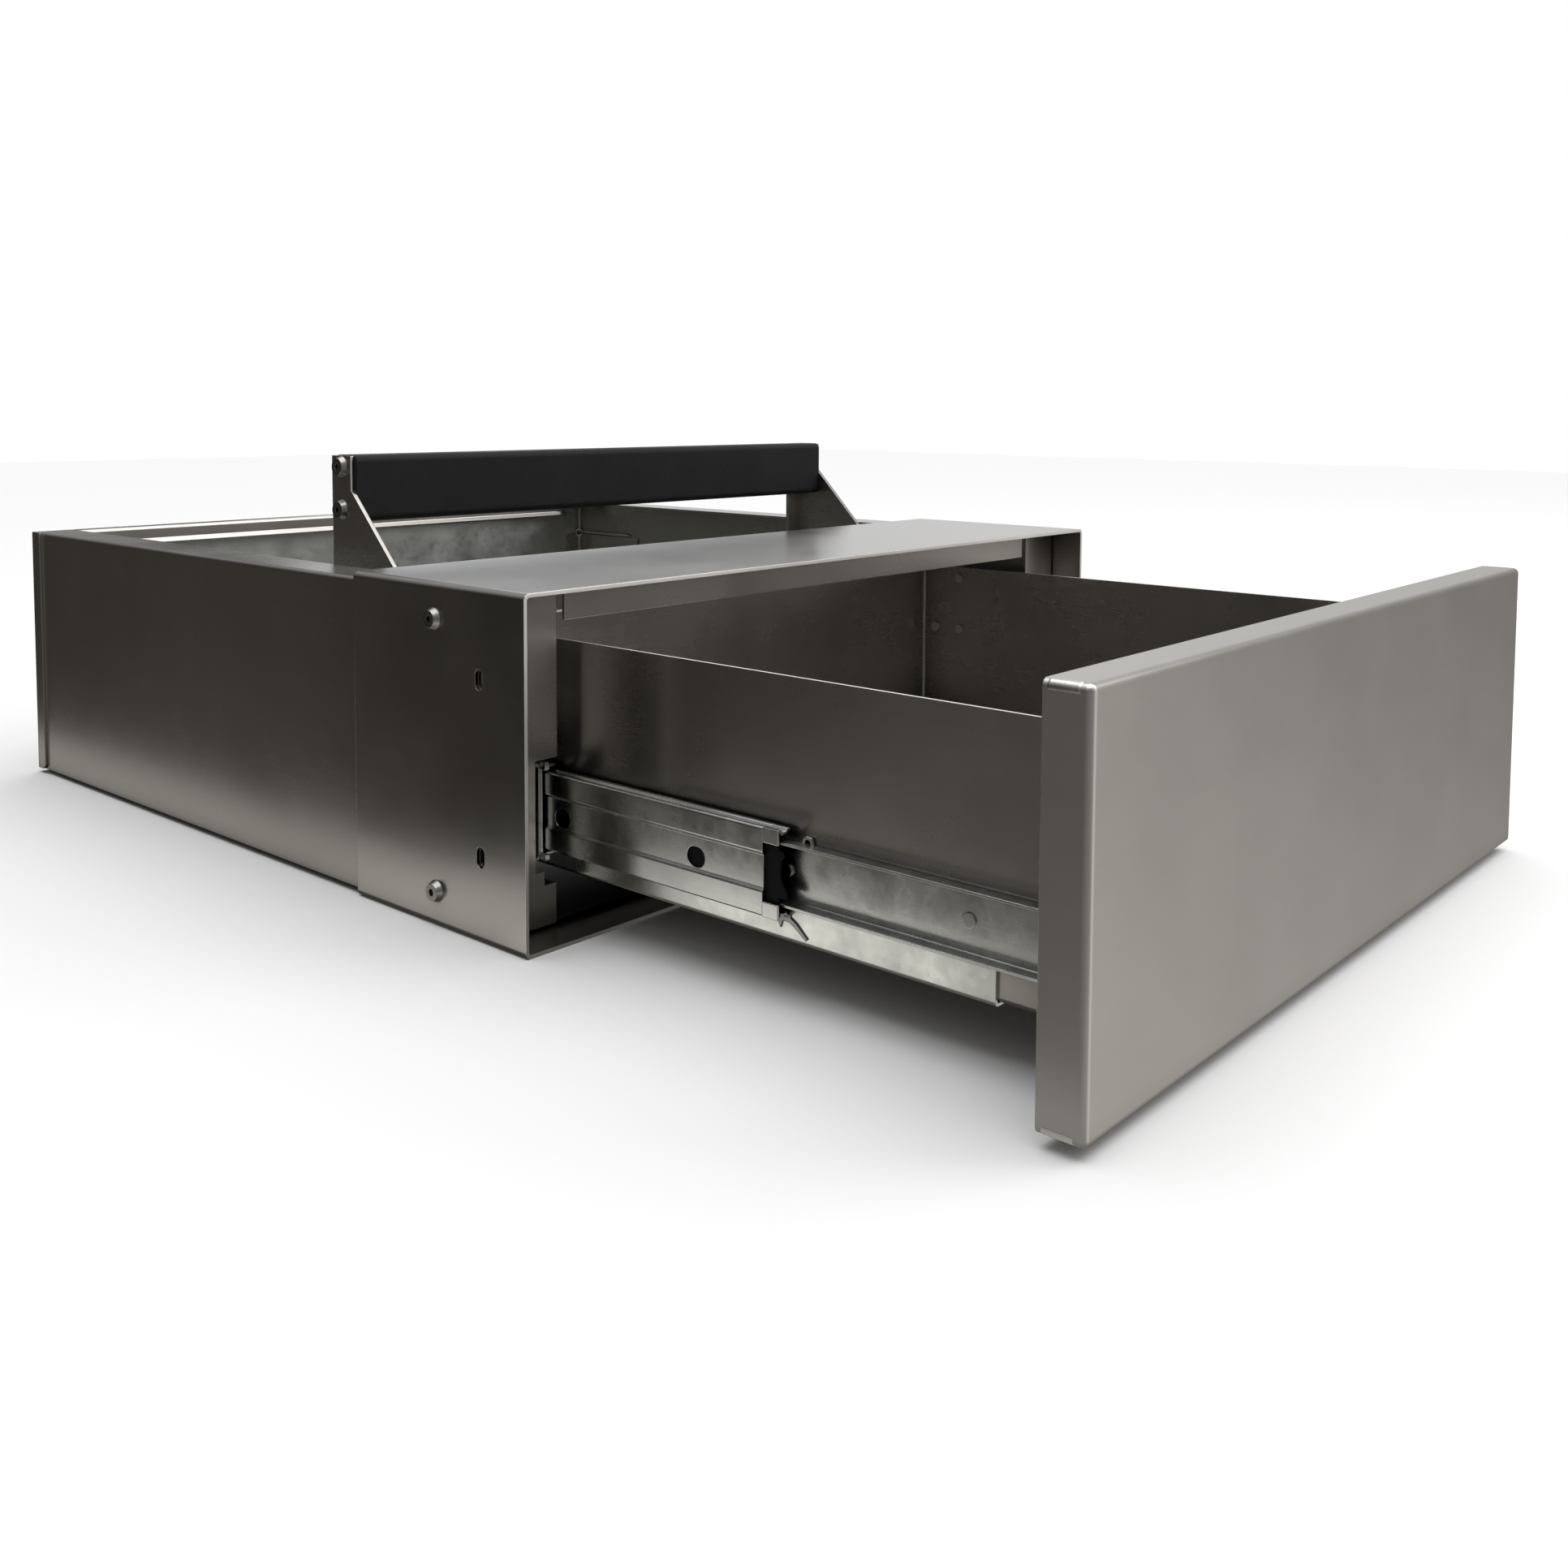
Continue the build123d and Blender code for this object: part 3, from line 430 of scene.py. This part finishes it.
# outlines: the lips and hooks are (out or along y, up) from the slide's middle, the rest (y, z)
lip_path = [(2.4, 19.4), (4.0, 19.4), (4.9, 18.0), (7.6, 18.0), (8.5, 19.4), (10.0, 19.4), (10.0, 13.2)]
retainer_outline = [
    (-184, 10.4), (-197.4, 10.4), (-198.6, 8.4), (-196.9, 6.2), (-196.4, 1.0), (-196.8, -2.6),
    (-198.8, -5.8), (-200.4, -8.2), (-200.6, -10.6), (-184, -10.6),
]
hook_outline = [(-44.6, 21.4), (-40.5, 21.4), (-40.5, 24.6), (-41.6, 25.8), (-43.6, 25.6), (-44.8, 24.2)]
clip_outline = [
    (-203.2, 73.2), (-203.9, 75.8), (-205.8, 77.0), (-208.6, 76.7), (-209.8, 73.2),
    (-208.5, 73.2), (-207.7, 75.4), (-205.5, 75.6), (-204.8, 73.2),
]
lever_outline = [
    (-189.0, 41.5), (-189.5, 36.4), (-191.4, 33.2), (-192.6, 36.8), (-196.4, 36.6), (-200.0, 34.6),
    (-206.0, 30.4), (-207.0, 31.4), (-200.6, 37.0), (-197.2, 38.9), (-197.6, 42.0), (-195.6, 42.0),
    (-194.6, 39.0), (-191.8, 39.0), (-190.8, 41.5),
]


def raised(outline, flip=1):
    """An outline with its heights measured from the slide's middle, upside down if flip is -1."""
    return [(y, slide_middle + flip * up) for y, up in outline]


def middle_lips(mesh, side):
    for flip in (-1, 1):
        strip = ribbon([(out, flip * up) for out, up in lip_path], rail_sheet)
        placed = [(side * (drawer_side + out), slide_middle + up) for out, up in strip]
        prism(mesh, "y", middle_lips_y, placed, 0.22)


def ball_retainer(mesh, side):
    prism(mesh, "x", outward(side, retainer_out), raised(retainer_outline), 0.2)


def cabinet_hooks(mesh, side):
    for flip in (-1, 1):
        prism(mesh, "x", outward(side, hook_out), raised(hook_outline, flip), 0.45)


def drawer_clip(mesh, side):
    prism(mesh, "x", outward(side, clip_out), clip_outline, 0.2)


def release_lever(mesh, side):
    prism(mesh, "x", outward(side, lever_out), lever_outline, 0.15)


for side, hand in hands:
    for name, body, look, slot, shape in (
        (f"middle_rail_lips_{hand}", f"{hand}_middle_member", "slide", "zinc", middle_lips),
        (f"ball_retainer_{hand}", f"{hand}_inner_ball_cage", "plastic", "grip", ball_retainer),
        (f"cabinet_rail_hooks_{hand}", "housing", "weld", "zinc", cabinet_hooks),
        (f"drawer_rail_clip_{hand}", "drawer", "weld", "zinc", drawer_clip),
        (f"release_lever_{hand}", "drawer", "screws", "black_screws", release_lever),
    ):
        piece(name, body, look, lambda mesh: shape(mesh, side))


def drawer_welds(mesh):
    for side, _ in hands:
        x = side * drawer_corner_x
        bead(mesh, (x, 33.7, 30.6), (x, 33.7, 144.2), 1.5)
        bead(mesh, (x, -344.7, 30.6), (x, -344.7, 145.0), 1.5)


def tub_welds(mesh):
    for side, _ in hands:
        x, y = side * tub_corner[0], tub_corner[1]
        bead(mesh, (x, y, 139.0), (x, y, 169.6), 1.7)
        x, y = side * gusset_corner[0], gusset_corner[1]
        bead(mesh, (x, y, 96.0), (x, y, gusset_top), 1.6)
        x = side * 250.8
        bead(mesh, (x, 468.5, 141.2), (x, 402.0, 141.2), 1.3)
        eyelet(mesh, (side * 249.7, 471.2, 140.2), (-side * 0.66, -0.75, 0.0), 3.0, 0.9)


def panel_welds(mesh):
    for side, _ in hands:
        x = side * panel_corner_x
        for z in (8.5, 166.5):
            bead(mesh, (x, -363.0, z), (x, -347.0, z), 3.1, 0.01, 40)


piece("drawer_corner_welds", "drawer", "weld", drawer_welds, True)
piece("tub_corner_welds", "housing", "weld", tub_welds, True)
piece("panel_corner_welds", "drawer", "weld", panel_welds, True)

# ------------------------------------------------------------------------ studio
# The camera was solved from the photograph: pixels of its frame, radians and metres
frame_px = 1932
focal_px = 1843.76
centre_down_px = 621.6
sensor_mm = 36.0
yaw, pitch, roll = -0.8526, -0.0671, 0.0048
camera_place = (-0.69826, -0.61798, 0.26416)

camera_data = bpy.data.cameras.new("camera")
camera_data.sensor_width = sensor_mm
camera_data.lens = focal_px / frame_px * sensor_mm
camera_data.shift_y = (centre_down_px - frame_px / 2) / frame_px
camera_data.clip_end = 60.0
camera = bpy.data.objects.new("camera", camera_data)
bpy.context.scene.collection.objects.link(camera)
bpy.context.scene.camera = camera
forward = Vector((
    -math.sin(yaw) * math.cos(pitch),
    math.cos(yaw) * math.cos(pitch),
    math.sin(pitch),
))
level = Vector((math.cos(yaw), math.sin(yaw), 0.0))
above = level.cross(forward)
right = math.cos(roll) * level + math.sin(roll) * above
up = -math.sin(roll) * level + math.cos(roll) * above
turn = Matrix((right, up, -forward)).transposed()
camera.matrix_world = Matrix.Translation(camera_place) @ turn.to_4x4()


def flat_mesh(name, corners):
    """A flat object with those corners, in metres."""
    mesh = bpy.data.meshes.new(name)
    mesh.from_pydata(corners, [], [tuple(range(len(corners)))])
    made = bpy.data.objects.new(name, mesh)
    bpy.context.scene.collection.objects.link(made)
    return made


floor_half = 6.0
floor = flat_mesh("floor", [
    (-floor_half, -floor_half, 0), (floor_half, -floor_half, 0),
    (floor_half, floor_half, 0), (-floor_half, floor_half, 0),
])
floor_mat, floor_tree, floor_shader = new_material("pale_floor")
floor_shader.inputs["Base Color"].default_value = rgb(0.86, 0.86, 0.86)
floor_shader.inputs["Roughness"].default_value = 0.9
floor_shader.inputs["Specular IOR Level"].default_value = 0.1
floor.data.materials.append(floor_mat)
floor.visible_glossy = False

world = bpy.data.worlds.new("studio")
bpy.context.scene.world = world
world.use_nodes = True
sky = world.node_tree
sky.nodes.clear()
way = add(sky, "ShaderNodeTexCoord").outputs["Generated"]
dx, dy, dz = add(sky, "ShaderNodeSeparateXYZ", inputs={0: way}).outputs
azimuth = maths(sky, "ARCTAN2", dx, dy)


def ring(stops):
    """Colours round the horizon, as (azimuth from +Y towards +X, brightness, warmth)."""
    turned = spread(sky, azimuth, -math.pi, math.pi, 0.0, 1.0)
    ramp = add(sky, "ShaderNodeValToRGB", inputs={0: turned})
    bands = ramp.color_ramp.elements
    while len(bands) < len(stops):
        bands.new(0.5)
    for band, (angle, light, warmth) in zip(bands, stops):
        band.position = (angle + math.pi) / (2 * math.pi)
        band.color = rgb(light * (1 + warmth), light, light * (1 - warmth))
    return ramp.outputs["Color"]


# above the horizon: pale behind the part's right, dark at its left, grey at its front
above_ring = ring([
    (-3.14, 0.30, 0.02), (-2.2, 0.16, 0.03), (-1.2, 0.05, 0.06), (-0.62, 0.02, 0.06), (-0.45, 0.06, 0.10),
    (-0.3, 0.035, 0.04), (0.36, 0.16, 0.03), (0.455, 0.16, 0.02), (0.466, 0.008, 0.0), (0.528, 0.008, 0.0),
    (0.545, 0.30, 0.02), (0.60, 1.30, -0.03), (0.80, 0.78, -0.025), (1.0, 0.84, 0.0), (1.5, 0.5, 0.02),
    (1.83, 0.25, 0.03), (2.10, 0.38, 0.04), (2.3, 0.85, 0.04), (2.7, 0.95, 0.04), (3.14, 0.36, 0.02),
])
# below the horizon: patches of a dark room at the left, a lit floor at the right and front
below_ring = ring([
    (-3.14, 0.40, 0.03), (-2.0, 0.20, 0.04), (-1.2, 0.12, 0.08), (-1.0, 0.115, 0.08), (-0.68, 0.02, 0.10),
    (-0.60, 0.018, 0.10), (-0.545, 0.10, 0.10), (-0.475, 0.11, 0.16), (-0.40, 0.06, 0.08),
    (-0.30, 0.05, 0.03), (0.3, 0.10, 0.02), (0.8, 0.30, 0.02), (1.5, 0.30, 0.03), (1.80, 0.25, 0.03),
    (1.88, 0.44, 0.04), (2.10, 0.48, 0.05), (2.3, 0.86, 0.05), (2.7, 0.95, 0.05), (3.14, 0.40, 0.03),
])
dim = spread(sky, dz, -0.10, -0.32, 0.62, 1.15)
dimmed = {0: below_ring, "Scale": dim}
below = add(sky, "ShaderNodeVectorMath", operation="SCALE", inputs=dimmed).outputs[0]
room = blend_colours(sky, spread(sky, dz, -0.06, 0.04, 0.0, 1.0), below, above_ring)
near_floor = spread(sky, dz, -0.40, -0.65, 0.0, 1.0)
room = blend_colours(sky, near_floor, room, rgb(0.46, 0.45, 0.43))
ceiling = spread(sky, dz, 0.30, 0.85, 0.0, 1.0)
room = blend_colours(sky, ceiling, room, rgb(0.55, 0.55, 0.56))
# the camera itself sees plain white
seen = add(sky, "ShaderNodeLightPath").outputs["Is Camera Ray"]
shown = blend_colours(sky, seen, room, rgb(1.0, 1.0, 1.0))
background = add(sky, "ShaderNodeBackground", inputs={"Color": shown, "Strength": 1.0})
output = add(sky, "ShaderNodeOutputWorld")
sky.links.new(background.outputs[0], output.inputs[0])


def lamp(name, data, energy):
    """A light of that energy, in watts or, for a sun, watts a square metre."""
    data.energy = energy
    made = bpy.data.objects.new(name, data)
    bpy.context.scene.collection.objects.link(made)
    return made


key_place = Vector((1.5, -1.6, 2.0))
key_target = Vector((0.0, 0.0, 0.1))
key_data = bpy.data.lights.new("key", "AREA")
key_data.size = 1.6
key = lamp("key", key_data, 22.0)
key.location = key_place
key.rotation_euler = (key_target - key_place).to_track_quat("-Z", "Y").to_euler()
overhead_data = bpy.data.lights.new("overhead", "SUN")
overhead_data.angle = 1.2
lamp("overhead", overhead_data, 2.0)


def reflected(name, corners, colour, bands):
    """A flat card that only the part's reflections see, its glow set along y by bands."""
    card = flat_mesh(name, corners)
    mat, tree, shader = new_material(name)
    shader.inputs["Base Color"].default_value = rgb(0.0, 0.0, 0.0)
    shader.inputs["Emission Color"].default_value = rgb(*colour)
    place = add(tree, "ShaderNodeTexCoord").outputs["Object"]
    y = add(tree, "ShaderNodeSeparateXYZ", inputs={0: place}).outputs[1]
    glow = 0.0
    for low, high, change in bands:
        glow = maths(tree, "ADD", spread(tree, y, low, high, 0.0, change), glow)
    tree.links.new(glow, shader.inputs["Emission Strength"])
    card.data.materials.append(mat)
    card.visible_camera = False
    card.visible_diffuse = False
    card.visible_shadow = False


# the pale bench along the part's left side, and the shade under the part, 1 mm under the floor
under = -0.001
part_left = -0.262
bench_outline = [
    (-0.316, -0.75), (part_left, -0.75), (part_left, 0.9), (-0.306, 0.9), (-0.325, 0.08),
    (-0.356, -0.03), (-0.324, -0.13), (-0.316, -0.26),
]
reflected(
    "bench",
    [(x, y, under) for x, y in bench_outline],
    (1.0, 0.975, 0.92),
    [(-1.0, -0.9, 0.42), (-0.30, -0.20, 0.63), (-0.12, -0.03, -0.5), (0.05, 0.15, -0.1)],
)
shade_outline = [(part_left, -0.33), (0.30, -0.33), (0.30, 0.49), (part_left, 0.49)]
reflected(
    "shade",
    [(x, y, under) for x, y in shade_outline],
    (1.0, 0.95, 0.88),
    [(-1.0, -0.9, 0.08)],
)

bpy.context.scene.view_settings.view_transform = "Standard"
